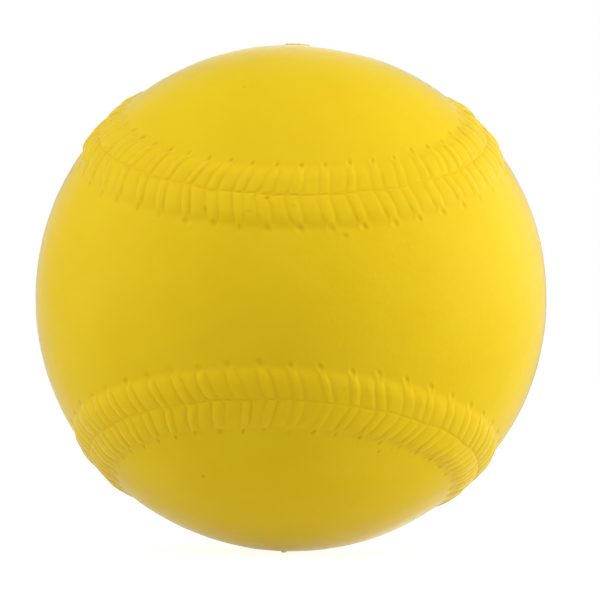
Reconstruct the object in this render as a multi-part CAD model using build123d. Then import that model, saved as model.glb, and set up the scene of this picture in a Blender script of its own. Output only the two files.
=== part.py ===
from build123d import *
from math import acos, cos, degrees, radians, sin
import os

# Foam stress ball, moulded in one pour in the shape of a stitched ball.
#
# It is an integral-skin polyurethane foam casting: a dense skin over a softer cellular core. The
# origin is the ball's centre, +Z runs up through the trimmed pouring gate, and the mould closed on
# the plane Y = 0, so the skin is written as its front half, towards -Y, and its back half, which
# meet face to face on that plane. Sizes are in millimetres and angles in degrees.
#
# The raised seam is one closed loop of four equal circular arcs that join without a kink. Two curl
# round poles near the top and bottom of the front half, and two round poles near the left and
# right of the back half, so a quarter turn about Y with a mirror in Y gives the same ball again.

# Driving dimensions
BALL_DIAMETER = 73.0      # over the smooth panels, 9 inches round
SKIN_THICKNESS = 1.2      # dense integral skin
CORE_CLEARANCE = 0.05     # keeps core and skin two separate solids
ARC_POLE_TILT = 70.4      # from the Y axis to the pole that a seam arc curls round
SEAM_HALF_WIDTH = 4.9     # from the middle of the seam to its foot
SEAM_HEIGHT = 0.63        # seam above the smooth panels
SEAM_ROOT = 0.7           # how far the seam's section reaches down into the skin
FOOT_DEPTH = 0.12         # where the seam's dome ends, just under the panel
GROOVE_WIDTH = 0.45       # the line along which the two panels meet
GROOVE_DEPTH = 0.35
GATE_DIAMETER = 3.7       # stub of foam left by the pouring gate
GATE_HEIGHT = 0.36        # stub above the panel, where it was trimmed off
VENT_DIAMETER = 0.6       # pip of foam that rose into the mould's vent
VENT_HEIGHT = 0.45        # the vent is at the lowest point

# Worked out from them
BALL_RADIUS = BALL_DIAMETER / 2
CAVITY_RADIUS = BALL_RADIUS - SKIN_THICKNESS
POLE_Y = cos(radians(ARC_POLE_TILT))
POLE_OUT = sin(radians(ARC_POLE_TILT))
ARC_RADIUS = degrees(acos(-(POLE_Y**2))) / 2    # neighbouring arcs touch without a kink


def on_section(angle, height):
    """A point of the seam's section, at an angle from the arc's pole and a height over the panel."""
    radius = BALL_RADIUS + height
    return radius * sin(radians(angle)), radius * cos(radians(angle))


def seam_section():
    """Domed section of the raised seam with the groove in its middle, the arc's pole being +Z."""
    foot = degrees(SEAM_HALF_WIDTH / BALL_RADIUS)
    lip = degrees(GROOVE_WIDTH / 2 / BALL_RADIUS)
    shoulder = (foot + lip) / 2
    shoulder_height = SEAM_HEIGHT * 0.9
    lips, feet = [], []
    for side in (1, -1):
        lips.append(on_section(ARC_RADIUS + side * lip, SEAM_HEIGHT))
        feet.append(on_section(ARC_RADIUS + side * foot, -FOOT_DEPTH))
    with BuildSketch(Plane.XZ) as section:
        with BuildLine():
            for side, lip_end, foot_end in zip((1, -1), lips, feet):
                middle = on_section(ARC_RADIUS + side * shoulder, shoulder_height)
                ThreePointArc(lip_end, middle, foot_end)
            Polyline(lips[0], on_section(ARC_RADIUS, SEAM_HEIGHT - GROOVE_DEPTH), lips[1])
            Polyline(
                feet[0],
                on_section(ARC_RADIUS + foot, -SEAM_ROOT),
                on_section(ARC_RADIUS - foot, -SEAM_ROOT),
                feet[1],
            )
        make_face()
    return section.sketch


def arc_pole(quarter):
    """Direction of the pole that an arc curls round: front for even quarters, back for odd ones."""
    turn = radians(90 * quarter)
    side = -1 if quarter % 2 == 0 else 1
    return Vector(POLE_OUT * sin(turn), side * POLE_Y, POLE_OUT * cos(turn))


def seam_arc(quarter):
    """One arc of the raised seam, from its join with one neighbour to its join with the other."""
    pole = arc_pole(quarter)
    join = (pole + arc_pole(quarter + 1)).normalized()
    waist = Vector(0, pole.Y / abs(pole.Y), 0)
    waist_side = waist - pole * waist.dot(pole)
    join_side = join - pole * join.dot(pole)
    half_sweep = waist_side.get_angle(join_side)
    ring = revolve(seam_section(), axis=Axis.Z, revolution_arc=2 * half_sweep)
    frame = Plane(origin=(0, 0, 0), x_dir=waist_side, z_dir=pole)
    return frame * Rot(0, 0, -half_sweep) * ring


def make_skin():
    """The whole dense skin: the seamed ball less its cavity and its gate hole."""
    ball = Sphere(BALL_RADIUS)
    for quarter in range(4):
        ball += seam_arc(quarter)
    vent_length = VENT_HEIGHT + SKIN_THICKNESS / 2
    vent_middle = -(BALL_RADIUS + VENT_HEIGHT - vent_length / 2)
    ball += Pos(0, 0, vent_middle) * Cylinder(VENT_DIAMETER / 2, vent_length)
    gate_hole = Pos(0, 0, BALL_RADIUS) * Cylinder(
        GATE_DIAMETER / 2 + CORE_CLEARANCE, 4 * SKIN_THICKNESS
    )
    return ball - Sphere(CAVITY_RADIUS) - gate_hole


def half_of(solid, side):
    """The half of a solid on one side of the mould's parting plane: -1 for front, 1 for back."""
    reach = 2 * BALL_DIAMETER
    return solid & Pos(0, side * reach / 2, 0) * Box(reach, reach, reach)


def make_core():
    """The cellular core, with the gate stub that stands up through the skin."""
    core_radius = CAVITY_RADIUS - CORE_CLEARANCE
    stub_top = BALL_RADIUS + GATE_HEIGHT
    stub = Cylinder(
        GATE_DIAMETER / 2, stub_top, align=(Align.CENTER, Align.CENTER, Align.MIN)
    )
    return Sphere(core_radius) + stub


skin = make_skin()
parts = {
    "skin_front": half_of(skin, -1),
    "skin_back": half_of(skin, 1),
    "foam_core": make_core(),
}

os.makedirs("parts", exist_ok=True)
for name, part in parts.items():
    export_step(part, f"parts/{name}.step")
    print(name, round(part.volume, 2), part.bounding_box())
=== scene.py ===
import math

import bmesh
import bpy
import numpy as np
from mathutils import Matrix, Vector, geometry


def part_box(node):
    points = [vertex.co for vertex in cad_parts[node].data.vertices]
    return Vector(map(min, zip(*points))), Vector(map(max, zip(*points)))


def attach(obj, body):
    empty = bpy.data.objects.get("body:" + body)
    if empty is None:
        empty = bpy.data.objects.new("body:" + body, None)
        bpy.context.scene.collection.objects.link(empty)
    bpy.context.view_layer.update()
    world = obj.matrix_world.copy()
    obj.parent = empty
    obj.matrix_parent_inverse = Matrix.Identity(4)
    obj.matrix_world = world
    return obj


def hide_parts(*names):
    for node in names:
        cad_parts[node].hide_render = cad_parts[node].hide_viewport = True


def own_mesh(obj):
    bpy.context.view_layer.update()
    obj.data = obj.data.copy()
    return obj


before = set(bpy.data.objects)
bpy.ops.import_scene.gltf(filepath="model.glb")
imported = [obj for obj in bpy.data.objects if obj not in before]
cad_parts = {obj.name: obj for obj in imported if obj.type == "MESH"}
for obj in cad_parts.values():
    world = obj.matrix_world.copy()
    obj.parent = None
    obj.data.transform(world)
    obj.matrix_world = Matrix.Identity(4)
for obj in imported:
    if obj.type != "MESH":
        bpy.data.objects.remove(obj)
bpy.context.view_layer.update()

MM = 0.001
UP = np.array([0.0, 0.0, 1.0])
rng = np.random.default_rng(9)      # of the stitches

# ---------------------------------------------------------------- sizes, in millimetres
BALL_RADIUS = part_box("skin_back")[1].y / MM      # smooth panels
SKIN_THICKNESS = 1.2
CORE_CLEARANCE = 0.15
SEAM_HEIGHT = 0.55
STITCHES_PER_ARC = 27
HOLE_LINE = 4.84          # needle holes, from the middle of the seam
BAND_EDGE = 6.2           # the finely meshed band along the seam ends here
STRAND_HALF = 0.8         # half the width of a moulded thread
HOLE_RADIUS = 0.44
HOLE_DEPTH = 0.13
HOLE_LIP = 0.012
GROOVE_WIDTH = 0.30       # of the grooves on each side of a moulded thread
STRAND_DIP = 0.08         # where a thread goes down into its hole
MIDDLE_DEPTH = 0.065      # of the line in the middle of the seam
MIDDLE_WIDTH = 0.15
GATE_RADIUS = 1.80
GATE_POINTS = 48
GATE_HEIGHT = 0.25        # of the trimmed stub over the skin
VENT_RADIUS = 0.28
VENT_HEIGHT = 0.48
FLASH_HEIGHT = 0.05       # ridge left along the mould's parting line
FLASH_HALF = 0.2
FLATTENING = 0.0065       # the ball is that much shorter than it is wide

# ---------------------------------------------------------------- the seam's four arcs
ARC_TILT = math.radians(70.4)
ARC_RADIUS = math.acos(-math.cos(ARC_TILT) ** 2) / 2
SIDES = np.array([1, -1, 1, -1])     # + where an arc's pole is on the panel with the two caps


def unit(v):
    """The vectors at unit length."""
    return v / np.linalg.norm(v, axis=-1, keepdims=True)


def arc_pole(quarter):
    """Direction of the pole that an arc curls round: front for even quarters, back for odd ones."""
    turn = math.radians(90 * quarter)
    return np.array([
        math.sin(ARC_TILT) * math.sin(turn),
        -SIDES[quarter % 4] * math.cos(ARC_TILT),
        math.sin(ARC_TILT) * math.cos(turn),
    ])


POLES = np.array([arc_pole(q) for q in range(4)])
WAISTS = unit(np.array([[0.0, np.sign(p[1]), 0.0] for p in POLES])
              - np.abs(POLES[:, 1:2]) * POLES)
JOINS = unit(POLES + np.roll(POLES, -1, axis=0))
FORWARDS = np.cross(POLES, WAISTS)
FORWARDS *= np.sign(np.sum(FORWARDS * JOINS, axis=1))[:, None]
HALF_SWEEP = math.atan2(JOINS[0] @ FORWARDS[0], JOINS[0] @ WAISTS[0])
ARC_LENGTH = 2 * HALF_SWEEP * math.sin(ARC_RADIUS) * BALL_RADIUS
PITCH = ARC_LENGTH / STITCHES_PER_ARC
STITCHES = 4 * STITCHES_PER_ARC


def seam_direction(along, across):
    """Unit vectors for places along and across the seam, in millimetres; across is + on the caps' side."""
    turns = np.mod(along / ARC_LENGTH, 4)
    arc = np.minimum(turns.astype(int), 3)
    azimuth = (turns - arc - 0.5) * 2 * HALF_SWEEP
    polar = ARC_RADIUS - SIDES[arc] * across / BALL_RADIUS
    round_pole = np.cos(azimuth)[..., None] * WAISTS[arc] + np.sin(azimuth)[..., None] * FORWARDS[arc]
    return np.cos(polar)[..., None] * POLES[arc] + np.sin(polar)[..., None] * round_pole


def seam_distance(directions):
    """Signed distance from the middle of the seam, in millimetres, + on the panel with the two caps."""
    nearest = np.full(len(directions), np.inf)
    side = np.sign(directions[:, 1])
    for pole, waist, forward, join, sign in zip(POLES, WAISTS, FORWARDS, JOINS, SIDES):
        polar = np.arccos(np.clip(directions @ pole, -1, 1))
        azimuth = np.arctan2(directions @ forward, directions @ waist)
        inside = np.abs(azimuth) <= HALF_SWEEP
        to_join = np.arccos(np.clip(directions @ join, -1, 1))
        nearest = np.minimum(nearest, np.where(inside, np.abs(polar - ARC_RADIUS), to_join))
        side = np.where(polar < ARC_RADIUS, sign, side)
    return side * nearest * BALL_RADIUS


# ---------------------------------------------------------------- small helpers
def step(low, high, x):
    """0 below low, 1 above high and smooth between them."""
    t = np.clip((x - low) / (high - low), 0, 1)
    return t * t * (3 - 2 * t)


def bell(x, width):
    """1 at x = 0, falling to nearly nothing at twice the width."""
    return np.exp(-((x / width) ** 2))


def graded(low, high, count, spacing):
    """count + 1 places from low to high, about spacing(place) apart."""
    fine = np.linspace(low, high, 4001)
    dense = 1 / spacing((fine[1:] + fine[:-1]) / 2)
    total = np.concatenate([[0], np.cumsum(dense)])
    return np.interp(np.linspace(0, total[-1], count + 1), total, fine)


def waves(directions, lengths, seed, count=24):
    """Smooth random relief of about unit height, from plane waves of these lengths in millimetres."""
    draw = np.random.default_rng(seed)
    total = np.zeros(len(directions))
    for _ in range(count):
        heading = unit(draw.normal(size=3))
        length = draw.uniform(*lengths)
        phase = draw.uniform(0, 6.28)
        total += np.sin(directions @ heading * BALL_RADIUS * 2 * math.pi / length + phase)
    return total * math.sqrt(2 / count)


def compass(azimuth, elevation):
    """Unit vector; azimuth 0 is the front, 90 the right, in degrees."""
    a, e = math.radians(azimuth), math.radians(elevation)
    return np.array([math.sin(a) * math.cos(e), -math.cos(a) * math.cos(e), math.sin(e)])


# ---------------------------------------------------------------- stitches: one set of numbers each
def per_stitch(mean, spread):
    """A value for each stitch on each side of the seam."""
    return mean * (1 + spread * np.clip(rng.normal(size=(2, STITCHES)), -2, 2))


# Lean of the stitches, in degrees, at places counted in arcs from the upper left join
LEAN_PLACES = (0.2, 0.5, 0.8, 1.5, 2.2, 2.5, 2.8, 3.5)
LEANS = (16, 14, 7, 14, 22, 17, 11, 14)
FIRST_HOLE = 0.145        # of a pitch past each join
# How far the holes of the hand-cut mould stray along the seam from even spacing, in millimetres: first
# on the waist's side of the seam, then on the caps' side
STRAY_PLACES = (
    (0.2, 0.41, 0.46, 0.51, 0.55, 0.60, 0.65, 0.8, 1.5, 2.2, 2.35, 2.5, 2.65, 2.8, 3.5),
    (0.2, 0.35, 0.5, 0.65, 0.8, 1.5, 2.2, 2.35, 2.53, 2.565, 2.60, 2.65, 2.8, 3.5),
)
STRAYS = (
    (0.4, 0.5, -0.2, -0.4, -0.1, 0.4, 0.4, 0.2, 0.0, -0.5, 0.0, -0.2, 0.0, -0.3, 0.0),
    (0.4, 0.5, 0.15, 0.3, 0.6, 0.0, -0.4, -0.25, -0.4, -1.1, -0.6, -0.5, -0.45, 0.0),
)
# How crisply the mould was cut, at such places: most of all at the ends of the upper front arc
CRISP_PLACES = (
    0.0, 0.15, 0.3, 0.42, 0.48, 0.54, 0.6, 0.7, 0.85, 1.0,
    1.5, 2.0, 2.2, 2.35, 2.41, 2.48, 2.52, 2.6, 2.8, 3.0, 3.5,
)
CRISPNESS = (
    3.2, 2.7, 1.5, 1.5, 1.8, 1.3, 0.9, 1.1, 2.2, 2.8,
    1.2, 2.0, 1.4, 1.05, 1.0, 1.1, 2.4, 1.8, 1.4, 1.8, 1.2,
)

strand_half = STRAND_HALF * (1 + 0.09 * np.clip(rng.normal(size=STITCHES), -2, 2))
hole_shift = 0.09 * np.clip(rng.normal(size=(2, STITCHES)), -2, 2)
hole_line = per_stitch(HOLE_LINE, 0.03)
hole_radius = per_stitch(HOLE_RADIUS, 0.14)
hole_depth = per_stitch(HOLE_DEPTH, 0.25)
groove_left = per_stitch(0.050, 0.28)
groove_right = per_stitch(0.050, 0.28)
strand_crown = per_stitch(0.050, 0.28)
puff_crown = per_stitch(0.045, 0.28)
puff_lobe = per_stitch(0.045, 0.4)
centre_shift = 0.13 * np.clip(rng.normal(size=STITCHES), -2, 2)
side_shift = 0.10 * np.clip(rng.normal(size=(2, STITCHES)), -2, 2)
bow = 0.12 * rng.normal(size=(2, STITCHES))


def round_loop(place, places, values):
    """A value given at a few places of the loop, counted in arcs, and interpolated between them."""
    return np.interp(place * PITCH / ARC_LENGTH, places, values, period=4)


def at_stitch(values, place):
    """A stitch's value near its strand, passing to the next stitch's in the middle of the puff."""
    low = np.floor(place).astype(int)
    mix = step(0.35, 0.65, place - low)
    return values[low % STITCHES] * (1 - mix) + values[(low + 1) % STITCHES] * mix


def wander(place):
    """How far the seam's middle groove strays across it."""
    return 0.12 * np.sin(place * 2.4) * np.sin(place * 0.37 + 1) + 0.05 * np.sin(place * 5.1)


def narrowed(offset, across, half):
    """Offset from the strand's middle, drawn in towards the needle hole; the puff takes up the room."""
    edge = half * (1 - 0.42 * step(2.6, 4.7, np.abs(across)))
    inner = offset * edge / STRAND_HALF
    beyond = (np.abs(offset) - STRAND_HALF) / (PITCH / 2 - STRAND_HALF)
    outer = np.sign(offset) * (edge + beyond * (PITCH / 2 - edge))
    return np.where(np.abs(offset) < STRAND_HALF, inner, outer)


def along_seam(place, across, side):
    """Where a stitch line lies along the seam; place counts stitches and is whole in a strand's middle."""
    nearest = np.round(place)
    d = np.abs(across)
    reach = d / HOLE_LINE
    lean = round_loop(place, LEAN_PLACES, LEANS)
    middle = at_stitch(centre_shift, place) - np.tan(np.radians(lean)) * HOLE_LINE
    middle = middle + at_stitch(side_shift[side], place) * step(0.15, 0.6, d)
    strays = [round_loop(place, *given) for given in zip(STRAY_PLACES, STRAYS)]
    centre_stray = (strays[0] + strays[1]) / 2
    middle = middle + centre_stray + (strays[side] - centre_stray) * step(0.15, 0.6, d)
    outside = at_stitch(hole_shift[side], place) + strays[side]
    curve = at_stitch(bow[side], place) * np.sin(np.pi * np.minimum(reach, 1))
    offset = narrowed((place - nearest) * PITCH, across, at_stitch(strand_half, place))
    return (nearest + FIRST_HOLE) * PITCH + offset + middle * (1 - reach) + outside * reach + curve


def stitch_relief(place, across, side):
    """Height over the panel, in millimetres, of the seam with its strands, puffs and needle holes."""
    d = np.abs(across)
    offset = (place - np.round(place)) * PITCH
    from_edge = np.abs(offset) - STRAND_HALF
    crisp = round_loop(place, CRISP_PLACES, CRISPNESS)

    # The welt falls off further out at a strand than between strands, and sinks towards its middle line
    near_strand = 1 - step(0.5, 1.15, np.abs(offset))
    fall = near_strand * (1 - step(2.3, 5.6, d)) + (1 - near_strand) * (1 - step(2.2, 5.0, d))
    height = SEAM_HEIGHT * (fall - 0.1 * crisp * bell(d, 0.8))
    height = height - MIDDLE_DEPTH * bell(across, MIDDLE_WIDTH)

    # A strand is a crown between two grooves, and dips into its hole
    length = step(0.0, 0.3, d) * (1 - step(3.6, 4.5, d))
    in_strand = np.clip(1 - (offset / STRAND_HALF) ** 2, 0, 1)
    groove_before = at_stitch(groove_left[side], place)
    groove_after = at_stitch(groove_right[side], place)
    groove = np.where(offset < 0, groove_before, groove_after)
    height = height - groove * crisp * bell(from_edge, GROOVE_WIDTH) * length
    height = height + at_stitch(strand_crown[side], place) * crisp * in_strand * length
    height = height - STRAND_DIP * in_strand * step(3.3, 4.6, d) * (1 - step(4.8, 5.6, d))

    # A puff swells between two strands, most of all at its outer end
    in_puff = np.sin(np.pi / 2 * np.clip(from_edge / (PITCH / 2 - STRAND_HALF), 0, 1)) ** 0.8
    outer_end = bell(d - 3.6, 0.8) * (1 - step(3.8, 4.5, d))
    height = height + at_stitch(puff_crown[side], place) * in_puff * length
    height = height + at_stitch(puff_lobe[side], place) * in_puff * outer_end

    # A needle hole is a pit with a faint lip; on the waist's side it is wider where the mould is crisper
    real = narrowed(offset, across, at_stitch(strand_half, place))
    from_hole = np.hypot(real, d - at_stitch(hole_line[side], place))
    radius = at_stitch(hole_radius[side], place) * (1 if side else 0.8 + 0.2 * crisp)
    pit = 1 - step(0.2 * radius, 1.35 * radius, from_hole)
    lip = bell(from_hole - 1.55 * radius, 0.4 * radius)
    return height - at_stitch(hole_depth[side], place) * (0.7 + 0.25 * crisp) * pit + HOLE_LIP * lip


# ---------------------------------------------------------------- the shape under the seam
GATE = UP
VENT = -UP


def reach_of(directions, centre):
    """Distance from a centre over the surface, in millimetres."""
    return BALL_RADIUS * np.arccos(np.clip(directions @ centre, -1, 1))


# Pinholes left by bubbles on the front: where they are and how wide, in millimetres
PINHOLES = [
    (compass(14.1, 13.5), 0.42), (compass(-23.2, -43.3), 0.36), (compass(-17.2, 53.4), 0.34),
    (compass(27.4, -35.1), 0.36), (compass(-17.6, 18.7), 0.32), (compass(-7.4, 18.2), 0.30),
    (compass(2.3, 19.4), 0.30), (compass(-3.7, 21.3), 0.34),
]
# The back has as many, apart from one another and on its smooth panels
ON_FRONT = len(PINHOLES)
PINHOLE_GAP = 4.0
PINHOLE_TO_SEAM = 8.6
draw = np.random.default_rng(31)
while len(PINHOLES) < 2 * ON_FRONT:
    pinhole = unit(draw.normal(size=3))
    others = [GATE, VENT] + [centre for centre, _ in PINHOLES]
    apart = min(reach_of(pinhole, other) for other in others) > PINHOLE_GAP
    on_panel = abs(seam_distance(pinhole[None])[0]) > PINHOLE_TO_SEAM
    if pinhole[1] > 0.25 and apart and on_panel:
        PINHOLES.append((pinhole, draw.uniform(0.28, 0.4)))


# Where the ball departs from round: a direction, millimetres outwards and a spread in degrees
SOFT_SPOTS = (
    (compass(90, 80), -0.22, 9.5), (UP, -0.14, 42.0), (compass(90, -28), 0.13, 15.0),
    (compass(-90, 45), -0.11, 17.0), (compass(-90, 45), -0.10, 8.0),
)


def body_shape(directions):
    """Slow departures from a true ball: a little wider than tall, some soft spots and faint lumps."""
    height = -FLATTENING * BALL_RADIUS * (directions[:, 2] ** 2 - 1 / 3)
    for centre, rise, spread in SOFT_SPOTS:
        height += rise * bell(np.degrees(np.arccos(np.clip(directions @ centre, -1, 1))), spread)
    return height + 0.03 * waves(directions, (14, 45), 3) + 0.008 * waves(directions, (3.5, 8), 4)


def marks(directions):
    """The lip round the gate, the vent's pip and the pinholes."""
    height = 0.04 * bell(reach_of(directions, GATE) - GATE_RADIUS - 0.15, 0.3)
    height += VENT_HEIGHT * (1 - step(0.55 * VENT_RADIUS, 1.5 * VENT_RADIUS, reach_of(directions, VENT)))
    for centre, width in PINHOLES:
        height -= 0.5 * width * (1 - step(0.1 * width, 0.7 * width, reach_of(directions, centre)))
    return height


# ---------------------------------------------------------------- meshes made of points on a sphere
def lattice(spacing):
    """Directions spread evenly over a sphere, about spacing millimetres apart on the ball."""
    count = int(4 * math.pi * (BALL_RADIUS / spacing) ** 2 * 1.1)
    k = np.arange(count) + 0.5
    z = 1 - 2 * k / count
    turn = k * math.pi * (3 - math.sqrt(5))
    wide = np.sqrt(1 - z * z)
    return np.stack([wide * np.cos(turn), wide * np.sin(turn), z], axis=1)


def ring(centre, radius, count):
    """Directions round a centre, radius millimetres away on the ball."""
    first = unit(np.cross(centre, [0.31, 1.0, 0.17]))
    second = np.cross(centre, first)
    turn = (np.arange(count) + 0.5) / count * 2 * math.pi
    around = np.outer(np.cos(turn), first) + np.outer(np.sin(turn), second)
    return math.cos(radius / BALL_RADIUS) * centre + math.sin(radius / BALL_RADIUS) * around


def loop(start, count):
    """Edges joining count points in a closed loop."""
    index = np.arange(count)
    return np.stack([index, (index + 1) % count], axis=1) + start


def triangulate(plane, edges):
    """Delaunay triangles inside the outermost edges, as rows of three point numbers."""
    found = geometry.delaunay_2d_cdt([Vector(p) for p in plane], edges.tolist(), [], 1, 1e-8)
    source = np.array([origin[0] for origin in found[3]])
    return source[np.array(found[2])]


def flattened(directions, axis, sign):
    """The sphere seen from the far end of an axis, as a plane in which circles stay circles."""
    others = [i for i in range(3) if i != axis]
    return directions[:, others] / (1 + sign * directions[:, axis:axis + 1])


def facing(points, triangles):
    """The way that each triangle faces, and its middle."""
    a, b, c = points[triangles].transpose(1, 0, 2)
    return np.cross(b - a, c - a), (a + b + c) / 3


def turned(triangles, wrong):
    """The triangles with the wrong ones turned over."""
    return np.where(wrong[:, None], triangles[:, ::-1], triangles)


def outward(points, triangles):
    """The triangles, all facing away from the ball's middle."""
    normals, middles = facing(points, triangles)
    return turned(triangles, np.sum(normals * middles, axis=1) < 0)


def round_shell(spacing, top_rings):
    """Directions and triangles over a whole sphere, open inside the first of the rings round the top."""
    equator = ring(UP, BALL_RADIUS * math.pi / 2, 2 * int(math.pi * BALL_RADIUS / spacing))
    rings = np.concatenate([ring(UP, r, GATE_POINTS) for r in top_rings])
    spread = lattice(spacing)
    spread = spread[np.abs(spread[:, 2]) > 0.6 * spacing / BALL_RADIUS]
    spread = spread[reach_of(spread, UP) > top_rings[-1] + 0.6 * spacing]
    directions = np.concatenate([equator, rings, spread])
    on_equator = np.arange(len(directions)) < len(equator)
    found = []
    for sign in (1, -1):
        mine = np.flatnonzero((directions[:, 2] * sign > 1e-6) | on_equator)
        edges = [loop(0, len(equator))]
        if sign > 0:
            edges.append(loop(len(equator), GATE_POINTS))
        local = triangulate(flattened(directions[mine], 2, sign), np.concatenate(edges))
        found.append(mine[local])
    triangles = np.concatenate(found)
    opening = (triangles >= len(equator)) & (triangles < len(equator) + GATE_POINTS)
    return directions, triangles[~opening.all(axis=1)], len(equator)


def walls(first, second):
    """Triangles between two loops of the same count, given as point numbers."""
    after_first, after_second = np.roll(first, -1), np.roll(second, -1)
    return np.concatenate([
        np.stack([first, second, after_second], axis=1),
        np.stack([first, after_second, after_first], axis=1),
    ])


# ---------------------------------------------------------------- the skin's outside
columns = graded(0, PITCH / 2, 12, lambda x: 0.25 - 0.17 * bell(x - STRAND_HALF, 0.32))
columns = np.concatenate([-columns[-2:0:-1], columns])
places = (np.arange(STITCHES)[:, None] + columns / PITCH).ravel()
rows = graded(0, BAND_EDGE, 26, lambda x: 0.34 - 0.26 * bell(x, 0.5) - 0.2 * bell(x - HOLE_LINE, 0.65))
rows = np.concatenate([-rows[:0:-1], rows])
COLUMNS, ROWS = len(places), len(rows)

place_grid = np.repeat(places, ROWS)
across_grid = np.tile(rows, COLUMNS)


def by_side(function, place, across):
    """The function's value on the waist's side of the seam or on the caps' side, as each place needs."""
    lower, upper = function(place, across, 0), function(place, across, 1)
    return np.where(across > 0, upper, lower)


band_along = by_side(along_seam, place_grid, across_grid)
band_across = across_grid + wander(place_grid) * (1 - step(0.5, 2.5, np.abs(across_grid)))
band = seam_direction(band_along, band_across)
band_height = by_side(stitch_relief, place_grid, across_grid)

number = np.arange(COLUMNS * ROWS).reshape(COLUMNS, ROWS)
after = np.roll(number, -1, axis=0)
band_triangles = np.concatenate([
    np.stack([number[:, :-1], after[:, :-1], after[:, 1:]], axis=-1).reshape(-1, 3),
    np.stack([number[:, :-1], after[:, 1:], number[:, 1:]], axis=-1).reshape(-1, 3),
])


WIDENING = 1.45           # of a pinhole in the band, to reach the neighbours of its point


def settled(centre, width):
    """A pinhole in the finely meshed band sits on one of its points, and is widened."""
    if abs(seam_distance(centre[None])[0]) < BAND_EDGE:
        return band[np.argmax(band @ centre)], WIDENING * width
    return centre, width


PINHOLES = [settled(centre, width) for centre, width in PINHOLES]
# The vent and the pinholes, each with the radii and the number of points of the rings that shape it
FEATURES = [(VENT, VENT_RADIUS * np.array([0.5, 0.85, 1.2, 1.6, 2.4]), 14)]
FEATURES += [(centre, width * np.array([0.2, 0.42, 0.65, 1.0, 1.7]), 12) for centre, width in PINHOLES]
# Outside the band the mesh thins out: rows at these distances from the seam's middle, with every so
# many of the band's columns, and then evenly spread points
THINNING = ((6.45, 2), (6.85, 4), (7.4, 8))
PANEL_SPACING = 0.95
BAND_GAP = 0.08           # from the band to the nearest ring point
FEATURE_GAP = 0.25        # from a feature's last ring to the spread points
SPREAD_GAP = 0.45         # from the last thinned row to the spread points
GATE_GAP = 3.6            # from the gate's centre to the spread points
GATE_RINGS = (0, 0.15, 0.4, 0.9)     # rings of points beyond the gate's radius
spread = lattice(PANEL_SPACING)
spread_distance = seam_distance(spread)


def panel_mesh(side, border):
    """Directions of one panel's points and its triangles, which count the band's border first.

    On the caps' panel the gate's rings come next, and the panel is open inside the first of them.
    """
    sign = 1 if side else -1
    points = [band[border]]
    edges = [loop(0, COLUMNS)]
    free = [spread[spread_distance * sign > THINNING[-1][0] + SPREAD_GAP]]
    for distance, every in THINNING:
        thinned = places[::every]
        across = np.full(len(thinned), sign * distance)
        free.append(seam_direction(along_seam(thinned, across, side), across))
    free = np.concatenate(free)
    if side:
        free = free[reach_of(free, GATE) > GATE_GAP]
        points += [ring(GATE, GATE_RADIUS + extra, GATE_POINTS) for extra in GATE_RINGS]
        edges.append(loop(COLUMNS, GATE_POINTS))
    for centre, radii, count in FEATURES:
        rings = np.concatenate([centre[None]] + [ring(centre, r, count) for r in radii])
        free = free[reach_of(free, centre) > radii[-1] + FEATURE_GAP]
        points.append(rings[seam_distance(rings) * sign > BAND_EDGE + BAND_GAP])
    points = np.concatenate(points + [free])
    local = triangulate(flattened(points, 1, sign), np.concatenate(edges))
    if side:
        on_gate = (local >= COLUMNS) & (local < COLUMNS + GATE_POINTS)
        local = local[~on_gate.all(axis=1)]
    return points[COLUMNS:], local


outside = [band]
triangles = [band_triangles]
total = len(band)
for side, border in enumerate((number[:, 0], number[:, -1])):
    points, local = panel_mesh(side, border)
    labels = np.concatenate([border, np.arange(len(points)) + total])
    outside.append(points)
    triangles.append(labels[local])
    gate_loop = np.arange(GATE_POINTS) + total      # the caps' panel, which has the gate, comes last
    total += len(points)

outside = np.concatenate(outside)
height = body_shape(outside) + marks(outside)
height[:len(band)] += band_height
skin_points = outside * (BALL_RADIUS + height)[:, None]

# How deep a place lies in a groove or hole, for the material's painted shade in the hollows: 0 on top and
# 1 at the bottom
hollow = np.zeros(total)
smooth_welt = SEAM_HEIGHT * (1 - step(2.3, 5.5, np.abs(across_grid)))
FULL_DEPTH = 0.28
hollow[:len(band)] = np.clip((smooth_welt - band_height) / FULL_DEPTH, 0, 1)
for centre, width in PINHOLES:
    hollow = np.maximum(hollow, 1 - step(0.3 * width, 0.9 * width, reach_of(outside, centre)))

# ---------------------------------------------------------------- the skin's inside and the gate's wall
inner_radius = BALL_RADIUS - SKIN_THICKNESS
inner, inner_triangles, gate_start = round_shell(2.2, (GATE_RADIUS, 2.6, 4.0))
inner_points = inner * inner_radius
inner_gate = np.arange(GATE_POINTS) + gate_start + total
lining = outward(inner, inner_triangles)[:, ::-1] + total
skin_triangles = outward(skin_points, np.concatenate(triangles))
hole_wall = walls(gate_loop, inner_gate)
skin_points = np.concatenate([skin_points, inner_points])
# The skin's inside is given a little of the same painted shade.
hollow = np.concatenate([hollow, np.full(len(inner_points), 0.3)])
normals, middles = facing(skin_points, hole_wall)
off_axis = np.sum(normals[:, :2] * middles[:, :2], axis=1)      # the hole's wall faces its axis
hole_wall = turned(hole_wall, off_axis > 0)
skin_triangles = np.concatenate([skin_triangles, lining, hole_wall])


def mesh_of(name, points, triangles, depth=None):
    """A smooth-shaded mesh in metres, with the depth of the hollows if there are any."""
    mesh = bpy.data.meshes.new(name)
    mesh.from_pydata((points * MM).tolist(), [], triangles.tolist())
    if depth is not None:
        layer = mesh.attributes.new("hollow", "FLOAT", "POINT")
        layer.data.foreach_set("value", depth.astype(np.float32))
    mesh.polygons.foreach_set("use_smooth", np.ones(len(mesh.polygons), bool))
    return mesh


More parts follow.
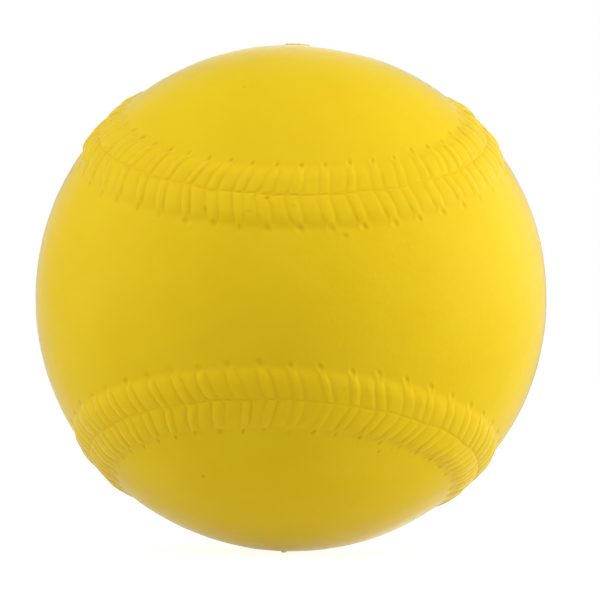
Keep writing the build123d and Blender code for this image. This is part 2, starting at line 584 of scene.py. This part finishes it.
def skin_half(whole, name, side):
    """One half of the skin: side is -1 for the front, +1 for the back. The cut face is closed."""
    bm = bmesh.new()
    bm.from_mesh(whole)
    for offset in (-FLASH_HALF, FLASH_HALF, 0.0):
        bmesh.ops.bisect_plane(
            bm, geom=bm.verts[:] + bm.edges[:] + bm.faces[:], dist=1e-7,
            plane_co=(0, offset * MM, 0), plane_no=(0, side, 0),
            clear_inner=offset == 0.0,
        )
    rim = [e for e in bm.edges if e.is_boundary]
    corners = list({v for e in rim for v in e.verts})
    order = {v: i for i, v in enumerate(corners)}
    links = np.array([[order[v] for v in e.verts] for e in rim])
    flat = np.array([(v.co.x, v.co.z) for v in corners]) / MM
    for face in triangulate(flat / 40, links):
        made = bm.faces.new([corners[i] for i in face])
        made.normal_update()
        if made.normal.y * side > 0:
            made.normal_flip()
        made.smooth = True
    for edge in rim:
        edge.smooth = False
    for v in corners:
        v.co.y = 0.0
        if v.co.length > (BALL_RADIUS - 0.5) * MM:
            v.co *= 1 + FLASH_HEIGHT * MM / v.co.length
    mesh = bpy.data.meshes.new(name)
    bm.to_mesh(mesh)
    bm.free()
    return bpy.data.objects.new(name, mesh)


whole_skin = mesh_of("whole_skin", skin_points, skin_triangles, hollow)
front = skin_half(whole_skin, "front_skin", -1)
back = skin_half(whole_skin, "back_skin", 1)
bpy.data.meshes.remove(whole_skin)

# ---------------------------------------------------------------- the foam core with its gate stub
CELL_RELIEF = 0.12        # highest of the core's cells and creases
CORE_RADIUS = inner_radius - CORE_CLEARANCE - CELL_RELIEF
STUB_RADIUS = GATE_RADIUS - 0.09
STUB_TOP = BALL_RADIUS + body_shape(GATE[None])[0] + GATE_HEIGHT
STUB_EDGE = 0.07          # how far the cut face rounds off at its edge


def foam_relief(points):
    """Cells and creases of the cut or moulded foam, in millimetres."""
    return 0.06 * waves(points, (1.6, 4.5), 11, 40) + 0.04 * waves(points, (5, 16), 12)


core, core_triangles, core_gate = round_shell(1.1, (STUB_RADIUS, STUB_RADIUS + 0.2, 2.6, 3.6))
core_relief = np.clip(foam_relief(core), -CELL_RELIEF, CELL_RELIEF)
core_points = core * (CORE_RADIUS + core_relief)[:, None]
base_loop = np.arange(GATE_POINTS) + core_gate
turn = np.arctan2(core_points[base_loop, 1], core_points[base_loop, 0])


def trimmed_top(x, y):
    """The cut face of the stub: it slopes down to the right and is torn open by foam cells."""
    cells = waves(np.stack([x, y, np.full_like(x, 7.0)], axis=1) / BALL_RADIUS, (0.7, 2.0), 21, 30)
    return STUB_TOP - 0.037 * x + 0.012 * y - 0.035 * np.clip(cells, 0, 2)


# Rings of the stub, from half a millimetre down its side, over the edge and in to the middle: each
# one's share of the stub's radius and how far it lies under the cut face
STUB_RINGS = [(1.0, 0.5), (1.0, STUB_EDGE)]
STUB_RINGS += [
    (share, STUB_EDGE * step(0.93, 1.0, np.array(share)))
    for share in (0.985, 0.95, 0.86, 0.74, 0.6, 0.45, 0.3, 0.15)
]
stub_rows = [base_loop]
stub_points = []
stub_count = len(core_points)
for share, under in STUB_RINGS:
    x = STUB_RADIUS * share * np.cos(turn)
    y = STUB_RADIUS * share * np.sin(turn)
    stub_rows.append(np.arange(GATE_POINTS) + stub_count)
    stub_points.append(np.stack([x, y, trimmed_top(x, y) - under], axis=1))
    stub_count += GATE_POINTS
tip = stub_points[-1].mean(axis=0, keepdims=True)
sides = [walls(first, second) for first, second in zip(stub_rows[:-1], stub_rows[1:])]
last = stub_rows[-1]
sides.append(np.stack([last, np.full(GATE_POINTS, stub_count), np.roll(last, -1)], axis=1))
core_triangles = outward(core_points, core_triangles)
core_points = np.concatenate([core_points] + stub_points + [tip])
sides = np.concatenate(sides)
normals, middles = facing(core_points, sides)
up_or_out = normals[:, 2] + 3 * np.sum(normals[:, :2] * middles[:, :2], axis=1)
sides = turned(sides, up_or_out < 0)
core_mesh = mesh_of("core_foam", core_points, np.concatenate([core_triangles, sides]))
foam = bpy.data.objects.new("core_foam", core_mesh)

for piece in (front, back, foam):
    bpy.context.scene.collection.objects.link(piece)


# ---------------------------------------------------------------- materials
def new_material(name):
    """A new material, its node tree and its shader."""
    made = bpy.data.materials.new(name)
    made.use_nodes = True
    tree = made.node_tree
    return made, tree, tree.nodes["Principled BSDF"]


def node(tree, kind, **values):
    """A shader node, its properties and inputs set; an underscore stands for a space in a name."""
    made = tree.nodes.new("ShaderNode" + kind)
    for key, value in values.items():
        if key in made.bl_rna.properties:
            setattr(made, key, value)
        else:
            made.inputs[key.replace("_", " ")].default_value = value
    return made


def ramp(tree, source, low, high, low_colour, high_colour):
    """A colour that passes from one to another as the source goes from low to high."""
    made = node(tree, "ValToRGB")
    made.color_ramp.elements[0].position = low
    made.color_ramp.elements[1].position = high
    made.color_ramp.elements[0].color = (*low_colour, 1)
    made.color_ramp.elements[1].color = (*high_colour, 1)
    tree.links.new(source, made.inputs["Fac"])
    return made.outputs["Color"]


def mixed(tree, share, first, second):
    """A mix of two colours, each one fixed or another node's."""
    made = node(tree, "Mix", data_type="RGBA")
    tree.links.new(share, made.inputs["Factor"])
    for value, socket in ((first, made.inputs["A"]), (second, made.inputs["B"])):
        if isinstance(value, tuple):
            socket.default_value = (*value, 1)
        else:
            tree.links.new(value, socket)
    return made.outputs["Result"]


YELLOW = (0.87, 0.600, 0.010)
PALE_YELLOW = (0.89, 0.625, 0.013)
# The colour of the painted shade in the grooves, needle holes and pinholes.
HOLLOW_SHADE_YELLOW = (0.84, 0.500, 0.008)


def skin_material():
    """Satin yellow foam skin, faintly clouded, darkened in the hollows as painted shade, and frosted at
    the rim.
    """
    made, tree, shader = new_material("skin_foam")
    position = node(tree, "TexCoord").outputs["Object"]
    cloud = node(tree, "TexNoise", Scale=95.0, Detail=3.0, Roughness=0.55)
    pores = node(tree, "TexNoise", Scale=2300.0, Detail=2.0, Roughness=0.6)
    grain = node(tree, "TexNoise", Scale=700.0, Detail=3.0, Roughness=0.6)
    for texture in (cloud, pores, grain):
        tree.links.new(position, texture.inputs["Vector"])
    base = ramp(tree, cloud.outputs["Fac"], 0.35, 0.68, YELLOW, PALE_YELLOW)
    # Painted shade: the deeper a place lies in a groove or hole, the more its colour goes to the shade
    # yellow.
    depth = node(tree, "Attribute", attribute_name="hollow")
    hollow_shade_share = node(tree, "Math", operation="MULTIPLY")
    hollow_shade_share.inputs[1].default_value = 0.3
    tree.links.new(depth.outputs["Fac"], hollow_shade_share.inputs[0])
    colour = mixed(tree, hollow_shade_share.outputs["Value"], base, HOLLOW_SHADE_YELLOW)
    tree.links.new(colour, shader.inputs["Base Color"])
    rough = ramp(tree, grain.outputs["Fac"], 0.3, 0.7, (0.42,) * 3, (0.56,) * 3)
    tree.links.new(rough, shader.inputs["Roughness"])
    total = node(tree, "Math", operation="MULTIPLY_ADD")
    total.inputs[1].default_value = 0.35
    tree.links.new(pores.outputs["Fac"], total.inputs[0])
    tree.links.new(grain.outputs["Fac"], total.inputs[2])
    bump = node(tree, "Bump", Strength=0.35, Distance=0.00015)
    tree.links.new(total.outputs["Value"], bump.inputs["Height"])
    tree.links.new(bump.outputs["Normal"], shader.inputs["Normal"])
    shader.inputs["IOR"].default_value = 1.42
    shader.inputs["Specular IOR Level"].default_value = 0.06
    shader.inputs["Subsurface Weight"].default_value = 0.3
    shader.inputs["Subsurface Radius"].default_value = (1.0, 0.7, 0.15)
    shader.inputs["Subsurface Scale"].default_value = 0.0012
    shader.inputs["Sheen Weight"].default_value = 1.0
    shader.inputs["Sheen Roughness"].default_value = 0.25
    shader.inputs["Sheen Tint"].default_value = (1.0, 0.97, 0.88, 1)
    return made


def core_material():
    """Matt, paler foam with open cells, darkened in the cells' pits as painted shade."""
    made, tree, shader = new_material("core_foam")
    position = node(tree, "TexCoord").outputs["Object"]
    cells = node(tree, "TexVoronoi", Scale=1500.0)
    cloud = node(tree, "TexNoise", Scale=160.0, Detail=3.0)
    for texture in (cells, cloud):
        tree.links.new(position, texture.inputs["Vector"])
    base = ramp(tree, cloud.outputs["Fac"], 0.35, 0.65, (0.76, 0.63, 0.14), (0.86, 0.73, 0.19))
    # Painted shade: the cells' colour darkens towards their pits, where the bump is lowest.
    pit_shade = ramp(tree, cells.outputs["Distance"], 0.1, 0.55, (0.70, 0.61, 0.31), (1.0, 1.0, 1.0))
    shaded = node(tree, "Mix", data_type="RGBA", blend_type="MULTIPLY")
    shaded.inputs["Factor"].default_value = 0.6
    tree.links.new(base, shaded.inputs["A"])
    tree.links.new(pit_shade, shaded.inputs["B"])
    tree.links.new(shaded.outputs["Result"], shader.inputs["Base Color"])
    bump = node(tree, "Bump", Strength=0.5, Distance=0.0003)
    tree.links.new(cells.outputs["Distance"], bump.inputs["Height"])
    tree.links.new(bump.outputs["Normal"], shader.inputs["Normal"])
    shader.inputs["Roughness"].default_value = 0.85
    shader.inputs["Specular IOR Level"].default_value = 0.25
    return made


skin_finish = skin_material()
front.data.materials.append(skin_finish)
back.data.materials.append(skin_finish)
foam.data.materials.append(core_material())

# ---------------------------------------------------------------- what each piece rides on
RIDES = (
    (front, "finger_half", "skin_front", "skin", -1),
    (back, "palm_half", "skin_back", "skin", 1),
    (foam, "palm_half", "foam_core", "core", 1),
)
for piece, body, stood_for, finish, side in RIDES:
    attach(piece, body)
    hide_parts(stood_for)
    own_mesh(piece)

# ---------------------------------------------------------------- floor, light and camera
FLOOR_Z = -(BALL_RADIUS + 0.05) * MM
FLOOR_REACH = 8
BOX_DISTANCE = 1.0
BOX_SIZE = 0.6


def white_floor():
    """Glows nearly white to the camera, with painted shade that dims the glow a little by the ball, and
    lights the ball from below.
    """
    made, tree, shader = new_material("floor_white")
    shader.inputs["Base Color"].default_value = (0.35, 0.35, 0.35, 1)
    shader.inputs["Roughness"].default_value = 0.9
    shader.inputs["Specular IOR Level"].default_value = 0.0
    shader.inputs["Emission Color"].default_value = (1, 1, 1, 1)
    far = node(tree, "VectorMath", operation="LENGTH")
    tree.links.new(node(tree, "TexCoord").outputs["Object"], far.inputs[0])
    # Painted shade: the glow that the camera sees is lowered near the ball and rises to full white further
    # out.
    dimmed_near_ball = node(tree, "MapRange", From_Min=0.06, From_Max=0.3, To_Min=0.86, To_Max=1.0)
    tree.links.new(far.outputs["Value"], dimmed_near_ball.inputs["Value"])
    lift = node(tree, "MapRange", To_Min=0.38)
    tree.links.new(node(tree, "LightPath").outputs["Is Camera Ray"], lift.inputs["Value"])
    tree.links.new(dimmed_near_ball.outputs["Result"], lift.inputs["To Max"])
    tree.links.new(lift.outputs["Result"], shader.inputs["Emission Strength"])
    return made


floor_mesh = bpy.data.meshes.new("floor")
corners = [(x * FLOOR_REACH, y * FLOOR_REACH, FLOOR_Z) for x, y in ((-1, -1), (1, -1), (1, 1), (-1, 1))]
floor_mesh.from_pydata(corners, [], [(0, 1, 2, 3)])
floor_mesh.materials.append(white_floor())
floor = bpy.data.objects.new("floor", floor_mesh)
bpy.context.scene.collection.objects.link(floor)


def white_world():
    """A background that is white to the camera and gives no light."""
    world = bpy.data.worlds.new("studio")
    world.use_nodes = True
    sky = world.node_tree
    sky.nodes.clear()
    seen = node(sky, "Background", Color=(1, 1, 1, 1))
    out = node(sky, "OutputWorld")
    sky.links.new(node(sky, "LightPath").outputs["Is Camera Ray"], seen.inputs["Strength"])
    sky.links.new(seen.outputs["Background"], out.inputs["Surface"])
    return world


bpy.context.scene.world = white_world()


def soft_box(name, azimuth, elevation, power):
    """A square area light that faces the ball and isn't seen itself."""
    lamp = bpy.data.lights.new(name, "AREA")
    lamp.size = BOX_SIZE
    lamp.energy = power
    holder = bpy.data.objects.new(name, lamp)
    bpy.context.scene.collection.objects.link(holder)
    place = Vector(compass(azimuth, elevation)) * BOX_DISTANCE
    holder.location = place
    holder.rotation_euler = (-place).to_track_quat("-Z", "Y").to_euler()
    holder.visible_camera = False


# Name, direction from the front and over the horizon in degrees, and watts
BOXES = (
    ("right_box", 90, 10, 5.8), ("right_high_box", 90, 45, 1.3), ("right_front_box", 60, 30, 2.2),
    ("left_box", -90, 10, 3.2), ("left_high_box", -90, 45, 1.7), ("left_front_box", -60, 30, 1.3),
    ("high_front_box", -30, 45, 1.5), ("top_front_box", 0, 60, 1.9), ("top_box", 0, 85, 1.3),
    ("right_rim_box", 132, 15, 2.5), ("left_rim_box", -150, 20, 0.8),
)
for name, azimuth, elevation, power in BOXES:
    soft_box(name, azimuth, elevation, power)

CAMERA_TURN = 2.4         # degrees to the right of the front
CAMERA_ROLL = 1.56        # degrees; the ball's top leans to the right
CAMERA_DISTANCE = 0.73
LENS = 305.6
LENS_SHIFT = (0.0155, -0.004)

lens = bpy.data.cameras.new("camera")
lens.lens = LENS
lens.sensor_width = 36.0
lens.shift_x, lens.shift_y = LENS_SHIFT
lens.clip_end = 50.0
camera = bpy.data.objects.new("camera", lens)
bpy.context.scene.collection.objects.link(camera)
eye = Vector(compass(CAMERA_TURN, 0)) * CAMERA_DISTANCE
camera.location = eye
upright = (-eye).to_track_quat("-Z", "Y")
camera.rotation_mode = "QUATERNION"
camera.rotation_quaternion = upright @ Matrix.Rotation(math.radians(CAMERA_ROLL), 3, "Z").to_quaternion()
bpy.context.scene.camera = camera

bpy.context.scene.view_settings.view_transform = "Standard"
bpy.context.scene.view_settings.look = "None"
bpy.context.scene.view_settings.exposure = 0.0
bpy.context.scene.view_settings.gamma = 1.0
